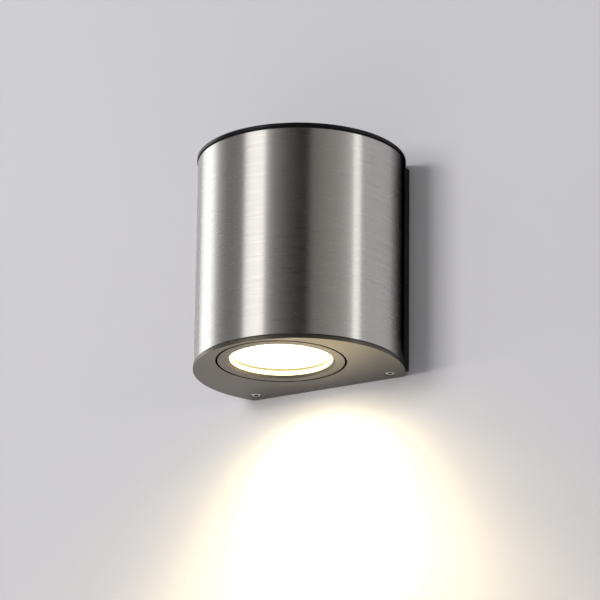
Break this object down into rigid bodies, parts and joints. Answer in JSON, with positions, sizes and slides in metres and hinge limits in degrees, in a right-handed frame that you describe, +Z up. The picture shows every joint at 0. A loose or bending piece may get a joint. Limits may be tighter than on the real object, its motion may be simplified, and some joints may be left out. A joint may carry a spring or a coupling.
{
  "type": "tube wall light",
  "caption": "Wall light: a brushed steel tube, cut flat at the wall, between a dark cap and bottom plate, with a lamp behind frosted glass that shines down.",
  "frame": {"origin": "midway between the wall screws, on the wall plane behind the base", "axes": "+Z up, +Y into the wall, the light stands out towards -Y, +X to the right of a person who faces the wall"},
  "size_m": [0.116, 0.0917, 0.1234],
  "materials": {
    "brushed_stainless": "satin, brushed round the sleeve",
    "black_paint": "fine matt black powder coat",
    "anthracite_paint": "fine satin anthracite powder coat",
    "base_paint": "matt black powder coat",
    "black_rubber": "matt",
    "clear_silicone": "translucent",
    "frosted_glass": "frosted",
    "spring_steel": "bright",
    "lamp_housing": "white painted",
    "lamp_glass": "frosted",
    "white_plastic": "matt",
    "nickel": "nickel plated",
    "white_ceramic": "glazed",
    "brass_parts": "bright",
    "zinc_steel": "zinc plated",
    "stainless_screws": "polished",
    "tinned_copper": "tinned",
    "brown_lead": "matt",
    "blue_lead": "matt",
    "green_yellow_lead": "matt"
  },
  "bodies": {
    "housing": {"sleeve": "brushed_stainless", "top_cap": "black_paint", "bottom_plate": "anthracite_paint", "wall_base": "base_paint", "top_gasket": "black_rubber", "bottom_gasket": "black_rubber", "wall_seal": "black_rubber", "cable_grommet": "black_rubber", "lamp_holder": "white_ceramic", "holder_contacts": "brass_parts", "holder_bridge": "zinc_steel", "bridge_screws": "zinc_steel", "holder_screws": "zinc_steel", "side_bracket_left": "zinc_steel", "side_bracket_right": "zinc_steel", "bracket_screws": "zinc_steel", "terminal_block": "white_plastic", "terminal_clamps": "brass_parts", "terminal_screws": "zinc_steel", "terminal_mount_screw": "zinc_steel", "earth_tag": "tinned_copper", "earth_screw": "zinc_steel", "lead_live": "brown_lead", "lead_neutral": "blue_lead", "lead_earth": "green_yellow_lead"},
    "bezel": {"bezel_ring": "anthracite_paint", "bezel_o_ring": "black_rubber", "glass_retainer": "spring_steel", "lens_glass": "frosted_glass", "lens_gasket": "clear_silicone"},
    "lamp": {"lamp_body": "lamp_housing", "lamp_lens": "lamp_glass", "lamp_base": "white_plastic", "lamp_pins": "nickel"},
    "left_screw": {"housing_screw_left": "stainless_screws"},
    "right_screw": {"housing_screw_right": "stainless_screws"}
  },
  "joints": [
    {"name": "bezel_drop", "type": "slide", "parent": "housing", "child": "bezel", "axis": [0, 0, -1], "range_m": [0, 0.025]},
    {"name": "lamp_twist", "type": "hinge", "parent": "housing", "child": "lamp", "pos_m": [0, -0.0535, 0], "axis": [0, 0, 1], "range_deg": [-20, 0]},
    {"name": "left_screw_turn", "type": "hinge", "parent": "housing", "child": "left_screw", "pos_m": [-0.0422, -0.0072, -0.0617], "axis": [0, 0, 1], "continuous": true},
    {"name": "right_screw_turn", "type": "hinge", "parent": "housing", "child": "right_screw", "pos_m": [0.0422, -0.0072, -0.0617], "axis": [0, 0, 1], "continuous": true}
  ]
}
